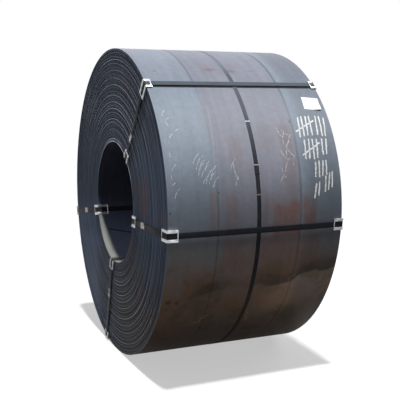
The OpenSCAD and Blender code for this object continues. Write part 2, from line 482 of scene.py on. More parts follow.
def girth_finish(colours):
    """Mill scale with colour bands along the strip, thin rust, spots, a tide line, brown dust with a
    painted reflection low down, and painted light and shade by height.
    """
    f = Finish("mill_scale_girth", 0.46, 0, 0.07)
    angle = f.angle()
    cloud = f.noise(2.6, 4)
    fine = f.noise(34, 5, 0.65)
    streak = f.noise(1, 4, 0.6, f.scaled(26, 1.6, 1.6))
    ragged = f.sum(f.noise(9, 4, 0.6), -0.5)
    along = f.sum(f.x, f.times(f.sum(f.noise(3, 2), -0.5), 0.012))
    rough_along = f.sum(f.x, f.times(ragged, 0.05))
    rough_angle = f.sum(angle, f.times(ragged, 6))
    # Warmer scale between the two seams and at the top
    past_seam = f.minus(along, f.sum(f.times(angle, RIGHT_LEAN), RIGHT_SEAM))
    middle = f.product((along, -0.262, -0.228), (past_seam, -0.012, 0.016, 1, 0))
    warm = f.most(f.times(middle, f.ramp(cloud, 0.25, 0.7, 0.55, 1)),
                  f.ramp(angle, 48, 58, 0, 0.5))
    colour = f.mix(warm, colours.scale, colours.scale_warm)
    # Red-brown rust: patches with uneven edges and a thin haze of streaks
    rusty = f.ramp(streak, 0.58, 0.8, 0, 0.16)
    mottle = f.ramp(f.noise(12, 5, 0.6), 0.32, 0.62, 0.55, 1)
    for *place, thick in RUST:
        rusty = f.most(rusty, f.times(f.patch(rough_along, rough_angle, *place), mottle, thick))
    far_mottle = f.ramp(f.noise(7, 5, 0.6), 0.4, 0.66, 0, 0.6)
    for place in FAR_RUST:
        rusty = f.most(rusty, f.times(f.blot(rough_angle, *place), far_mottle))
    colour = f.mix(rusty, colour, colours.rust)
    # Brown towards the floor, partly dust and partly a painted reflection of the dark ground, with dark
    # damp patches in it
    dust_and_reflection = f.product((f.up, 0.06, -0.5, 0, 0.9), (cloud, 0.2, 0.65, 0.55, 1))
    colour = f.mix(dust_and_reflection, colour, colours.earth)
    damp = f.product((f.noise(5.5, 4, 0.6), 0.47, 0.6), (f.up, -0.2, -0.36, 0, 0.6))
    colour = f.mix(damp, colour, colours.damp)
    # Dark seams, and a pale streak beside the left one
    shown = f.most(f.ramp(angle, 6, 14, 1, 0.45), f.ramp(angle, 42, 54, 0.45, 1.1))
    left_seam = f.times(f.band(along, LEFT_SEAM, 0.003, 0.009), shown)
    right_seam = f.times(f.band(past_seam, 0.004, 0.003, 0.01), f.ramp(angle, 36, 50, 1, 1.4))
    pale_at = f.sum(f.times(angle, PALE_LEAN), PALE_STREAK)
    pale = f.times(f.band(along, pale_at, 0.002, 0.008),
                   f.product((angle, 8, 15), (angle, 33, 42, 1, 0)))
    spots = 0
    for *place, dark in SPOTS:
        spots = f.most(f.times(f.blot(rough_angle, *place), dark), spots)
    # Tide line: dark above its edge, paler dried dust below it
    edge = f.sum(f.ramp(f.x, -0.46, -0.2, -0.465, -0.4), f.ramp(f.x, 0.17, 0.4, 0, 0.07))
    above = f.sum(f.minus(f.up, edge), f.times(ragged, 0.07))
    thinnest = f.ramp(f.x, -0.34, -0.22, 0.1, 0.45)
    tide = f.product((above, -0.014, 0.008), (above, 0.015, 0.105, 1, 0),
                     (f.noise(5, 3), 0.34, 0.52, thinnest, 1), (f.x, -0.4, -0.26, 0.25, 1))
    dried = f.product((above, -0.016, 0, 1, 0), (f.x, -0.05, 0.25), (above, -0.3, -0.1))
    upper_middle = f.times(middle, f.ramp(f.up, 0.34, 0.5))
    tone = f.product(
        (f.most(left_seam, right_seam), 0, 1.5, 1, 0.62),
        (pale, 0, 1, 1, 1.18),
        (past_seam, 0, 0.1, 1, 0.71),
        (streak, 0.25, 0.75, 0.93, 1.06),
        (cloud, 0.25, 0.75, 0.92, 1.06),
        (fine, 0.3, 0.7, 0.95, 1.05),
        (spots, 0, 2, 1, 0.4),
        (tide, 0, 1, 1, 0.56),
        (dried, 0, 1, 1, 2),
        # Painted light and shade by height: lighter up the girth, a little darker at the very top, lighter
        # below the front strap, darker towards the floor
        (f.up, 0.02, 0.34, 0.72, 1.1),
        (f.up, 0.38, 0.62, 1, 0.91),
        (upper_middle, 0, 1, 1, 0.91),
        (f.up, -0.18, -0.08, 1.5, 1),
        (f.up, -0.72, -0.2, 0.36, 1),
        # Painted shadow: a dark line under the upper strap
        (f.band(angle, STRAP_SHADOW_LINE, 0.4, 0.08), 0, 1, 1, 0.07))
    f.bump(f.noise(60, 4, 0.6, f.scaled(1, 0.4, 0.4)), 0.12, 0.6 * MM)
    rough = f.sum(f.ramp(cloud, 0.25, 0.75, 0.4, 0.5), f.times(rusty, 0.25))
    return f.paint(f.shade(colour, tone), f.math("MINIMUM", rough, 0.85))


def lap_finish(sizes, colours):
    """Cut edges of the laps: each lap has its own tone, rubbed burrs shine on some of them, and a painted
    highlight lies on the eye's upper rim.
    """
    f = Finish("lap_edges", 0.55, 0, 0.02)
    turn = f.times(f.sum(f.radius(), -sizes.eye_radius), 1 / lap_pitch(sizes))
    lap = f.math("FLOOR", turn)
    inside = f.math("FRACT", turn)
    own = f.line_noise("ShaderNodeTexWhiteNoise", lap)
    groups = f.line_noise("ShaderNodeTexNoise", f.times(turn, 0.35))
    drift = f.noise(2.2, 3)
    level = f.away(f.up)
    forward = f.ramp(f.front, -0.2, 0.3)
    colour = f.shade(colours.lap_edge, f.ramp(own, 0, 1, 0.72, 1.2))
    warm = f.product((f.noise(3.4, 3), 0.5, 0.72), (f.up, 0, 0.4, 0.5, 0.12),
                     (forward, 0, 1, 0.15, 1))
    colour = f.mix(warm, colour, f.shade(colours.rust, 0.5))
    # Blue high up, browner and duller towards the floor
    brown = f.times(f.ramp(f.up, -0.75, -0.05, 0.5, 0), forward)
    colour = f.mix(brown, colour, f.shade(colours.earth, 0.15))
    gap = f.most(f.ramp(inside, 0, 0.07, 1, 0), f.ramp(inside, 0.95, 1))
    low_back = f.product((f.front, -0.2, -0.55), (f.up, 0.05, -0.4))
    tone = f.product(
        (gap, 0, 1, 1, 0.35),
        (drift, 0.25, 0.75, 0.8, 1.16),
        (groups, 0.32, 0.68, 0.8, 1.16),
        (f.front, 0.25, 0.7, 1, 1.48),
        (low_back, 0, 1, 1, 2.7),
        (level, 0.15, 0.45, 1.25, 1),
        (f.up, -0.55, -0.15, 0.72, 1),
        (brown, 0, 0.5, 1, 0.62))
    # Rubbed burr on the outer side of some laps, more of it towards the top and the bottom
    sharp = f.math("FRACT", f.sum(f.times(lap, GOLDEN), 0.31))
    least = f.ramp(f.up, -0.4, -0.05, 0.55, 0.25)
    burr = f.product((inside, 0.56, 0.68, 0, 0.78), (sharp, 0.52, 0.64, 0.08, 1),
                     (own, 0, 1, 0.45, 1), (level, 0.14, 0.62, 0.22, 1),
                     (drift, 0.32, 0.62, least, 1))
    # Painted highlight: bright edges of the first and third lap round the upper half of the eye, where the
    # light falls on them
    rim_glint_band = f.most(f.band(turn, 0.5, 0.3, 0.2), f.times(f.band(turn, 2.5, 0.3, 0.2), 0.8))
    upper = f.product((f.up, 0.06, 0.24, 0.12, 1), (f.front, -0.3, 0.1, 0.35, 1),
                      (f.noise(14, 3), 0.3, 0.62, 0.45, 1))
    bright = f.most(burr, f.times(rim_glint_band, upper))
    colour = f.mix(bright, f.shade(colour, tone), colours.lap_rubbed_and_glint)
    f.join(f.shader.inputs["Metallic"], bright)
    f.bump(f.noise(120, 3), 0.2, 0.4 * MM)
    return f.paint(colour, f.ramp(drift, 0.3, 0.7, 0.46, 0.6))


def eye_finish(sizes, colours):
    """Scale on the innermost lap: a pale strip low down near the ends, where the light falls in, painted
    shade past it that is lighter low down, and streaks along the turn.
    """
    f = Finish("eye_wall", 0.6, 0, 0.04)
    streak = f.noise(1, 4, 0.6, f.scaled(30, 2, 2))
    depth = f.minus(sizes.half_width, f.away(f.x))
    # Painted shade past the strip: blue-black, lighter low down
    deep = f.shade(colours.eye_deep_shade, f.ramp(f.up, -0.32, 0.02, 3.2, 0.9))
    # Painted light: the pale strip low down near the open end is shaped to the light that falls in
    past_strip = f.minus(depth, f.ramp(f.up, -0.3, -0.08, 0.052, 0.014))
    strip = f.product((past_strip, -0.004, 0.005, 1, 0), (f.up, -0.1, -0.06, 1, 0))
    colour = f.mix(strip, deep, colours.eye_scale)
    # Painted shade along a crease that runs in from the open end
    crease = f.times(f.band(f.angle(), f.sum(f.times(f.x, CREASE_SHADE_LEAN), CREASE_SHADE), 0.5, 0.5),
                     f.product((depth, 0.045, 0.06), (f.x, -0.26, -0.16, 1, 0)))
    colour = f.shade(colour, f.ramp(crease, 0, 1, 1, 0.3))
    colour = f.mix(f.ramp(streak, 0.5, 0.75, 0, 0.3), colour, f.shade(colours.rust, 0.6))
    tone = f.product((f.noise(5, 4), 0.25, 0.75, 0.85, 1.05), (streak, 0.3, 0.7, 0.92, 1.05))
    f.bump(streak, 0.1, 0.5 * MM)
    return f.paint(f.shade(colour, tone), f.ramp(streak, 0.3, 0.7, 0.52, 0.68))


def strap_finish(name, sizes, colours, glint_lines_at=(), dust_and_reflection=None, low_dust_and_reflection=0):
    """Worn black enamel with lines of bare steel and painted glint at glint_lines_at, dust with a painted
    sky reflection between the two directions of dust_and_reflection, and painted shade on the ends.
    """
    f = Finish(name, 0.5, 0, 0.035)
    cloud = f.noise(6, 4)
    fleck = f.noise(90, 4, 0.7)
    colour = f.shade(colours.strap, f.ramp(cloud, 0.25, 0.75, 0.75, 1.25))
    rusty = f.product((f.noise(11, 4, 0.6), 0.52, 0.72), (f.up, 0.05, 0.4, 0.35, 0.12))
    colour = f.mix(rusty, colour, f.shade(colours.rust, 0.45))
    # Dust with a painted sky reflection: paler and bluer higher up the girth
    if dust_and_reflection is not None:
        dust = f.product((f.angle(), *dust_and_reflection), (cloud, 0.2, 0.6, 0.6, 0.9),
                         (f.radius(), sizes.girth_radius - 2.5 * MM, sizes.girth_radius))
        paler = f.ramp(f.angle(), 52, 64, 0.42, 0.78)
        colour = f.mix(dust, colour, f.shade(colours.scale, paler))
    # Browner low down: partly dust, partly a painted reflection of the ground
    low = f.product((f.up, -0.62, -0.4, low_dust_and_reflection, 0), (cloud, 0.3, 0.6, 0.6, 1))
    colour = f.mix(low, colour, f.shade(colours.earth, 0.16))
    # Painted shade: darker on the ends, with a paler painted reflection on the lowest run
    end_shade_and_gleam = f.ramp(f.away(f.x), sizes.half_width - 2 * MM, sizes.half_width)
    colour = f.shade(colour, f.ramp(end_shade_and_gleam, 0, 1, 1, 0.6))
    dirt = f.times(end_shade_and_gleam, f.ramp(f.up, -0.64, -0.58, 0.4, 0))
    colour = f.mix(dirt, colour, f.shade(colours.scale, 0.6))
    bare = f.ramp(fleck, 0.7, 0.8, 0, 0.5)
    # Lines of painted glint, partly bare steel
    for degrees in glint_lines_at:
        bare = f.most(bare, f.times(f.band(f.angle(), degrees, 0.1, 0.1), 0.45))
    colour = f.mix(bare, colour, colours.bare_steel)
    if glint_lines_at:
        f.join(f.shader.inputs["Metallic"], bare)
    f.bump(fleck, 0.15, 0.2 * MM)
    return f.paint(colour, f.ramp(cloud, 0.3, 0.7, 0.42, 0.62))


def seal_finish(colours):
    """Crimped seals, rubbed through to steel in broad spots."""
    f = Finish("rubbed_seals", 0.5, 0, 0.2)
    rub = f.ramp(f.noise(22, 4, 0.6), 0.32, 0.5)
    bare = f.times(rub, 0.9)
    f.join(f.shader.inputs["Metallic"], bare)
    f.bump(f.noise(150, 3), 0.15, 0.2 * MM)
    return f.paint(f.mix(bare, f.shade(colours.strap, 1.3), colours.bare_steel),
                   f.ramp(rub, 0, 1, 0.55, 0.42))


def guard_finish(name, sheet, dirt_colour, dirty):
    """Galvanised sheet with faint spangle: dirty is how much of it the dirt covers."""
    f = Finish(name, 0.38, 1, 0.5)
    spangle = f.cells(70)
    dirt = f.ramp(f.noise(22, 5, 0.65), 0.66 - 0.3 * dirty, 0.8 - 0.2 * dirty)
    tone = f.product((spangle, 0, 1, 0.9, 1.08), (f.noise(40, 3), 0.3, 0.7, 0.88, 1.1))
    colour = f.mix(f.times(dirt, 0.75), f.shade(sheet, tone), dirt_colour)
    f.bump(f.noise(80, 3), 0.1, 0.3 * MM)
    return f.paint(colour, f.sum(f.ramp(spangle, 0, 1, 0.34, 0.44), f.times(dirt, 0.25)))


def paper_finish(colours):
    """Blank paper with a slight gloss, a little creased and dusty."""
    f = Finish("label_paper", 0.45, 0, 0.5)
    crease = f.noise(30, 4)
    colour = f.shade(colours.paper, f.ramp(crease, 0.3, 0.7, 0.96, 1.02))
    colour = f.mix(f.ramp(f.noise(55, 4), 0.62, 0.76, 0, 0.18), colour, colours.earth)
    f.bump(crease, 0.2, 1 * MM)
    return f.paint(colour, f.ramp(crease, 0.3, 0.7, 0.38, 0.52))


def chalk_finish(name, chalk, scale, cover):
    """Chalk or mud that catches the high spots of the scale: cover is how much of it shows."""
    f = Finish(name, 0.6, 0, 0.4)
    grain = f.noise(160, 3, 0.6)
    shown = f.ramp(grain, 0.62 - cover * 0.5, 0.8 - cover * 0.35)
    f.bump(grain, 0.2, 0.3 * MM)
    return f.paint(f.mix(shown, f.shade(scale, 0.9), chalk), f.ramp(grain, 0.3, 0.7, 0.55, 0.7))


# Coil

# Where the pattern of the laps' depths starts at either end
RIGHT_PHASE, LEFT_PHASE = 0.2, 0.55
# Every third lap wanders together, so that neighbours part and close
FAMILIES = 3
# Faces within this of the girth or the eye's wall belong to it
SKIN = 0.5 * MM


def lap_pitch(sizes):
    """Distance from one lap to the next."""
    return (sizes.girth_radius - sizes.eye_radius) / sizes.laps


def lap_planes(sizes, side, phase):
    """Place along X of every lap's edge at one end, as in the solid: the first and last are flush."""
    planes = [sizes.half_width - sizes.lap_play * ((lap * GOLDEN + phase) % 1) for lap in range(sizes.laps)]
    planes[0] = planes[-1] = sizes.half_width
    return [side * plane for plane in planes]


class STEELCOIL_OT_coil(bpy.types.Operator):
    """Turn the coil from its half section, let its laps drift and finish its scale"""
    bl_idname = "steelcoil.coil"
    bl_label = "Coil"

    def execute(self, context):
        sizes = context.scene.coil_sizes
        colours = context.scene.coil_colours
        pitch = lap_pitch(sizes)
        right = lap_planes(sizes, 1, RIGHT_PHASE)
        left = lap_planes(sizes, -1, LEFT_PHASE)
        right_side, left_side = (
            [(plane, sizes.eye_radius + (lap + step) * pitch)
             for lap, plane in enumerate(planes) for step in (0, 1)] for planes in (right, left))
        # One point drawn in along the right end and out along the left, then turned about the axis
        section = right_side[::-1] + left_side
        first, last = (Vector((x, 0.0, AXIS_Z + r)) for x, r in (section[0], section[-1]))
        clear_selection()
        bpy.ops.mesh.primitive_plane_add(size=1 * MM, location=first)
        piece = named("wound_coil")
        edit_all()
        bpy.ops.mesh.merge(type="CENTER")
        for here, there in zip(section, section[1:]):
            move = (there[0] - here[0], 0.0, there[1] - here[1])
            bpy.ops.mesh.extrude_vertices_move(TRANSFORM_OT_translate={"value": move})
        pick_vertices(piece, lambda co: min((co - first).length, (co - last).length) < TOUCH)
        bpy.ops.mesh.edge_face_add()
        spin_all(sizes.turn_steps, math.tau)
        for family in range(FAMILIES):
            self.drift(piece, sizes, right, left, family)
        smooth(piece, 30)
        finishes = (girth_finish(colours), lap_finish(sizes, colours), eye_finish(sizes, colours))
        seat(piece, finishes, ("coil",))
        outer = sizes.girth_radius - SKIN
        inner = sizes.eye_radius + SKIN
        bpy.ops.object.mode_set(mode="EDIT")
        self.assign(piece, 1, lambda middle: inner < radius_of(middle) < outer)
        self.assign(piece, 2, lambda middle: radius_of(middle) <= inner)
        bpy.ops.object.mode_set(mode="OBJECT")
        return {"FINISHED"}

    def drift(self, piece, sizes, right, left, family):
        """Moves the edges of one family of laps along X by a slow noise."""
        pitch = lap_pitch(sizes)

        def wanders(co):
            plane = right if co[0] > 0 else left
            near = round((radius_of(co) - sizes.eye_radius) / pitch)
            for lap in (near - 1, near):
                moved = 0 < lap < sizes.laps - 1 and lap % FAMILIES == family
                if moved and abs(co[0] - plane[lap]) < TOUCH:
                    return sizes.half_width - abs(co[0]) > sizes.lap_drift
            return False

        only(piece)
        bpy.ops.object.mode_set(mode="EDIT")
        pick_vertices(piece, wanders)
        bpy.ops.object.vertex_group_assign_new()
        group = piece.vertex_groups[-1].name
        cloud = bpy.data.textures.new("lap_drift_%d" % family, "CLOUDS")
        cloud.noise_scale = 0.35 + 0.15 * family
        cloud.noise_depth = 1
        apply_modifier(piece, "DISPLACE", texture=cloud, texture_coords="LOCAL", direction="X",
                       mid_level=0.5, strength=2 * sizes.lap_drift, vertex_group=group)
        piece.vertex_groups.remove(piece.vertex_groups[group])

    def assign(self, piece, index, test):
        """Gives the faces at a place one of the coil's finishes."""
        pick_faces(piece, test)
        piece.active_material_index = index
        bpy.ops.object.material_slot_assign()


# Hoop

class STEELCOIL_OT_hoop(bpy.types.Operator):
    """Bend the hoop round the girth with its lapped end, and ease the edges of its seal"""
    bl_idname = "steelcoil.hoop"
    bl_label = "Hoop"

    def execute(self, context):
        sizes = context.scene.coil_sizes
        colours = context.scene.coil_colours
        inside = sizes.girth_radius + sizes.seat_gap
        thick = sizes.hoop_thickness
        # Closed ring
        clear_selection()
        bpy.ops.mesh.primitive_plane_add(
            size=1, location=(0.0, 0.0, AXIS_Z + inside + thick / 2), rotation=(math.pi / 2, 0.0, 0.0))
        bpy.ops.transform.resize(value=(sizes.hoop_width, 1.0, thick))
        piece = named("girth_hoop")
        edit_all()
        bpy.ops.mesh.delete(type="ONLY_FACE")
        spin_all(sizes.turn_steps, math.tau)
        smooth(piece, 30)
        # Painted glints, partly bare steel, at both ends of the lapped tail
        finish = strap_finish("hoop_enamel", sizes, colours, glint_lines_at=(33.1, 7.7), dust_and_reflection=(12, 48),
                              low_dust_and_reflection=0.9)
        seat(piece, (finish,), ("hoop_strap",))
        # Outer end, lapped over the ring
        clear_selection()
        end = on_girth(0.0, sizes.hoop_end, inside + 1.5 * thick)
        bpy.ops.mesh.primitive_plane_add(size=1, location=end)
        bpy.ops.transform.resize(value=(sizes.hoop_width, thick, 1.0))
        bpy.context.active_object.rotation_euler = (-sizes.hoop_end, 0.0, 0.0)
        tail = named("hoop_tail")
        edit_all()
        spin_all(24, -sizes.hoop_lap)
        smooth(tail, 30)
        seat(tail, (finish,))
        seal = soft_copy("hoop_seal", "hoop_crimp", 0.3 * MM)
        # Painted glint, partly bare steel, across the seal
        rubbed = strap_finish("hoop_seal_enamel", sizes, colours, glint_lines_at=(17.5,))
        seat(seal, (rubbed,), ("hoop_seal",))
        return {"FINISHED"}


# Straps and guards

class STEELCOIL_OT_straps(bpy.types.Operator):
    """Ease the edges of the straps through the eye and of their seals, and finish them"""
    bl_idname = "steelcoil.straps"
    bl_label = "Eye straps and seals"

    def execute(self, context):
        sizes = context.scene.coil_sizes
        colours = context.scene.coil_colours
        # Dust with a painted sky reflection on the top of the upper strap
        enamel = strap_finish("eye_strap_enamel", sizes, colours, dust_and_reflection=(30, 54))
        rubbed = seal_finish(colours)
        for strap in STRAPS:
            band = soft_copy("eye_strap_" + strap, "eye_band_" + strap, 0.2 * MM)
            seat(band, (enamel,), ("eye_strap_" + strap,))
            seal = soft_copy("strap_seal_" + strap, "crimp_" + strap, 0.25 * MM)
            seat(seal, (rubbed,), ("strap_seal_" + strap,))
        return {"FINISHED"}


# Loop bar of an inner guard: depth off the eye's wall, inset from the leg's end and from its sides
LOOP_DEPTH, LOOP_INSET, LOOP_MARGIN = 2.9 * MM, 2.6 * MM, 1 * MM
# Half width and half height of the bar, how far its tips bend out and how far along it they bend
LOOP_HALF_WIDTH, LOOP_HALF_HEIGHT = 2.5 * MM, 1.0 * MM
TIP_BEND, TIP_REACH = 1.1 * MM, 3.5 * MM


class STEELCOIL_OT_guards(bpy.types.Operator):
    """Ease the edges of the sixteen corner guards, add the loop bars and finish them"""
    bl_idname = "steelcoil.guards"
    bl_label = "Corner guards"

    def execute(self, context):
        colours = context.scene.coil_colours
        zinc = guard_finish("galvanised_guards", colours.guard, colours.guard_dirt, 0.3)
        dull = guard_finish("weathered_guards", colours.guard_old, colours.guard_dirt, 0.6)
        clean = ("upper_outer_left", "front_outer_left", "front_inner_left", "back_inner_left")
        corners = (("outer", "left", -1), ("outer", "right", 1),
                   ("inner", "left", -1), ("inner", "right", 1))
        for strap in STRAPS:
            for corner, end, side in corners:
                place = "%s_%s_%s" % (strap, corner, end)
                edge = 0.5 * MM if corner == "outer" else 0.2 * MM
                guard = soft_copy("guard_" + place, "angle_" + place, edge, corner == "outer")
                if corner == "inner":
                    self.loop(context.scene.coil_sizes, guard, strap, side)
                seat(guard, (zinc if place in clean else dull,), ("guard_" + place,))
        return {"FINISHED"}

    def loop(self, sizes, guard, strap, side):
        """Joins a thin oval bar to an inner guard, across the strap at its end in the eye."""
        direction, offset = STRAPS[strap]
        middle = sizes.eye_radius - LOOP_DEPTH
        half = sizes.guard_width / 2 - LOOP_MARGIN
        first, last = (math.radians(direction) + math.asin((offset * MM + reach) / middle)
                       for reach in (-half, half))
        along = side * (sizes.half_width - sizes.eye_leg + LOOP_INSET)
        clear_selection()
        bpy.ops.mesh.primitive_circle_add(vertices=12, radius=1.0, fill_type="NGON",
                                          location=on_girth(along, first, middle))
        bpy.context.active_object.rotation_euler = (math.pi - first, 0.0, 0.0)
        bpy.context.active_object.scale = (LOOP_HALF_WIDTH, LOOP_HALF_HEIGHT, 1.0)
        bar = named("loop")
        edit_all()
        spin_all(12, last - first)
        # Ends bent out onto the guard's two side bands
        for end in (first, last):
            tip = on_girth(along, end, middle)
            pick_vertices(bar, lambda co: (co - tip).length < TIP_REACH)
            bpy.ops.transform.translate(value=outward(end) * TIP_BEND)
        smooth(bar, 50)
        only(guard)
        bar.select_set(True)
        bpy.ops.object.join()


# Label and chalk

# Gap under the paper and under the chalk, and their thickness
PAPER_GAP, PAPER_THICKNESS = 0.15 * MM, 0.3 * MM
CHALK_GAP, CHALK_THICKNESS = 0.12 * MM, 0.1 * MM


class STEELCOIL_OT_label(bpy.types.Operator):
    """Paste the blank label on the girth and lift its loose corner"""
    bl_idname = "steelcoil.label"
    bl_label = "Label"

    def execute(self, context):
        sizes = context.scene.coil_sizes
        middle = sizes.half_width - sizes.label_edge - sizes.label_width / 2
        inside = sizes.girth_radius + 0.2 * MM
        clear_selection()
        bpy.ops.mesh.primitive_grid_add(
            x_subdivisions=16, y_subdivisions=14, size=1,
            location=on_girth(middle, sizes.label_angle, inside))
        bpy.ops.transform.resize(value=(sizes.label_width, sizes.label_height, 1.0))
        bpy.context.active_object.rotation_euler = facing(sizes.label_angle, sizes.label_turn)
        piece = named("label_sheet")
        lay_on_coil(piece, PAPER_GAP)
        # Loose lower corner on the far side, lifted in three steps
        places = [vertex.co.copy() for vertex in piece.data.vertices]
        corner = max(places, key=lambda co: co[0] - 1.5 * co[2])
        bpy.ops.object.mode_set(mode="EDIT")
        for reach in (42 * MM, 28 * MM, 15 * MM):
            pick_vertices(piece, lambda co: (co - corner).length < reach + sizes.label_lift)
            bpy.ops.transform.translate(value=outward(sizes.label_angle) * sizes.label_lift / 3)
        bpy.ops.mesh.select_all(action="SELECT")
        bpy.ops.mesh.vertices_smooth(factor=0.3, repeat=1)
        apply_modifier(piece, "SOLIDIFY", thickness=PAPER_THICKNESS, offset=1.0)
        smooth(piece, 40)
        seat(piece, (paper_finish(context.scene.coil_colours),), ("paper_label",))
        return {"FINISHED"}


# Marks on the girth: along the coil in mm, direction of the stroke's middle, length in mm, lean
# Chalk tally in rows
TALLY = (
    (318, 30.6, 128, 8), (344, 31, 126, 5), (370, 31.2, 122, 7), (396, 31.2, 126, 4),
    (357, 31, 150, 62), (436, 31.3, 124, 8), (462, 31, 128, 5), (486, 30.6, 120, 9),
    (325, 22.4, 112, 6), (352, 22.6, 116, 8), (378, 22.4, 120, 4), (404, 22.6, 112, 7),
    (365, 22.5, 142, 60), (440, 23.2, 96, 6), (466, 23.2, 92, 9),
    (372, 15.2, 86, 8), (396, 15.4, 92, 6), (420, 15.6, 88, 9), (444, 15.8, 84, 5),
    (360, 8, 84, 12), (384, 8.6, 78, 9), (428, 10.2, 90, 7), (452, 11, 96, 10), (474, 11.6, 88, 6),
)
# Faint scuffs
SCUFFS = (
    (-352, 20.5, 74, 36), (-338, 19.2, 88, 32), (-322, 18.6, 66, 38), (-334, 16.8, 80, 30),
    (-310, 16.4, 84, 36), (-296, 17.8, 60, 28), (-290, 14.6, 90, 30), (-274, 14, 70, 34),
    (-262, 15.8, 84, 27), (-254, 12.6, 64, 31), (-312, 13.4, 52, 35),
    (-142, 18.2, 70, 30), (-132, 15.4, 88, -14), (-128, 12.4, 56, 24),
    (176, 28.6, 60, -20), (196, 26.8, 84, 14), (214, 28.4, 50, -48), (232, 26.2, 66, 20),
    (206, 23, 92, 18), (226, 21.2, 58, -40), (178, 20.6, 70, -30), (190, 17.4, 84, 26),
    (164, 14.2, 60, -24), (150, 12.6, 44, 30), (236, 18.4, 50, 12),
    (-486, 36.6, 42, 30), (-478, 32.6, 30, -20), (-470, 28.2, 36, 36), (-492, 22, 30, 6),
    (-480, 17.8, 40, 40), (-498, 14.6, 28, -12), (-476, 9.6, 60, 32), (-430, 30.2, 24, 50),
    (-468, 34.4, 22, 60), (-484, 25.4, 26, -34), (-462, 20.6, 20, 16), (-488, 12.4, 24, 52),
)
# Dried mud
MUD = (
    (216, -34.3, 60, 40), (196, -36, 70, -20), (232, -32.6, 64, 62), (208, -38, 46, 75),
    (240, -22.6, 72, 35), (278, -24.6, 50, -50), (14, -39.4, 66, 30), (24, -37.2, 54, -40),
    (-16, -41.2, 60, 65), (38, -40.6, 44, 10), (-239, -36.6, 48, 50), (-281, -39.5, 60, 70),
    (-262, -38, 40, 20),
)
# Length of each of a stroke's three parts, so that they lap a little
PART_SHARE = 0.36
# Width of a faint stroke against a chalk stroke, and how far a stroke's edge strays against its width
FAINT_SHARE, STRAY_SHARE = 0.36, 0.35


class STEELCOIL_OT_chalk(bpy.types.Operator):
    """Draw the chalk tally, the faint scuffs and the dried mud on the girth"""
    bl_idname = "steelcoil.chalk"
    bl_label = "Chalk marks"

    def execute(self, context):
        sizes = context.scene.coil_sizes
        colours = context.scene.coil_colours
        faint = sizes.chalk_line * FAINT_SHARE
        tally = chalk_finish("tally_chalk", colours.chalk, colours.scale, 1.0)
        seat(self.strokes("chalk_tally", TALLY, 0.0, sizes, sizes.chalk_line), (tally,))
        scuffs = chalk_finish("faint_chalk", colours.chalk, colours.scale, 0.5)
        seat(self.strokes("chalk_scuffs", SCUFFS, 14.0, sizes, faint), (scuffs,))
        mud = chalk_finish("dried_mud", colours.mud, colours.damp, 0.6)
        seat(self.strokes("mud_scuffs", MUD, 42.0, sizes, faint), (mud,))
        return {"FINISHED"}

    def curled(self, marks, curl):
        """Every stroke of a list in three parts, with the outer parts leaning by the curl."""
        parts = []
        for along, angle, length, lean in marks:
            start = math.radians(lean)
            for part in (-1, 0, 1):
                turned = math.radians(lean + part * curl)
                reach = part * length / 6
                across = reach * (math.sin(start) + math.sin(turned))
                up = reach * (math.cos(start) + math.cos(turned))
                parts.append((along + across, angle + up * GIRTH_DEGREE, length * PART_SHARE, turned))
        return parts

    def strokes(self, name, marks, curl, sizes, line):
        """One piece with every stroke of a list, laid on the girth."""
        clear_selection()
        made = None
        for along, angle, length, lean in self.curled(marks, curl):
            place = on_girth(along * MM, math.radians(angle), sizes.girth_radius + 1 * MM)
            bpy.ops.mesh.primitive_grid_add(x_subdivisions=2, y_subdivisions=4, size=1, location=place,
                                            rotation=facing(math.radians(angle), -lean))
            bpy.ops.transform.resize(value=(line, length * MM, 1.0), orient_type="LOCAL")
            stroke = named(name)
            if made is None:
                made = stroke
            else:
                made.select_set(True)
                bpy.context.view_layer.objects.active = made
                bpy.ops.object.join()
        edit_all()
        bpy.ops.transform.vertex_random(offset=STRAY_SHARE * line, seed=7)
        bpy.ops.mesh.subdivide(number_cuts=1, smoothness=1.0)
        lay_on_coil(made, CHALK_GAP)
        apply_modifier(made, "SOLIDIFY", thickness=CHALK_THICKNESS, offset=1.0)
        smooth(made, 40)
        return made


# Stage

# Camera of the photo: place, how far it looks down and turns in degrees, lens and sensor in mm
CAMERA_PLACE = (-1.8762, -4.4904, 1.5682)
CAMERA_DOWN, CAMERA_TURN = 7.357, -23.324
CAMERA_LENS, SENSOR_WIDTH = 66.979, 36.0
# Floor's colour in bounced light, tint of the even light, and the white that the camera sees
FLOOR_BOUNCE = (0.10, 0.09, 0.08)
SKY_TINT = (0.92, 0.97, 1.0)
WHITE = (1.0, 1.0, 1.0)
# How far the floor's shadow is lifted in reflections, and how much further for the camera
SHADOW_LIFT, CAMERA_LIFT = 0.1, 0.4
# Lights: what they look at, the way back to them, distance and size
SUN_DISTANCE, SUN_SIZE = 6, math.radians(3)
SHEEN_TARGET, SHEEN_AIM = Vector((0.0, -0.7, 1.45)), Vector((0.385, -0.40, 0.833))
SHEEN_DISTANCE, SHEEN_SIZE = 5, 3.2
FAR_TARGET, FAR_AIM = Vector((0.5, 0.0, 0.95)), Vector((0.87, 0.10, 0.48))
FAR_DISTANCE, FAR_SIZE = 4, 2.5


def plain_shader(tree, kind, colour):
    """A shader of one colour."""
    node = tree.nodes.new(kind)
    node.inputs["Color"].default_value = (*colour, 1.0)
    return node


def blend(tree, amount, first, second):
    """Two shaders mixed by an amount."""
    node = tree.nodes.new("ShaderNodeMixShader")
    for socket, source in zip(node.inputs, (amount, first.outputs[0], second.outputs[0])):
        tree.links.new(source, socket)
    return node


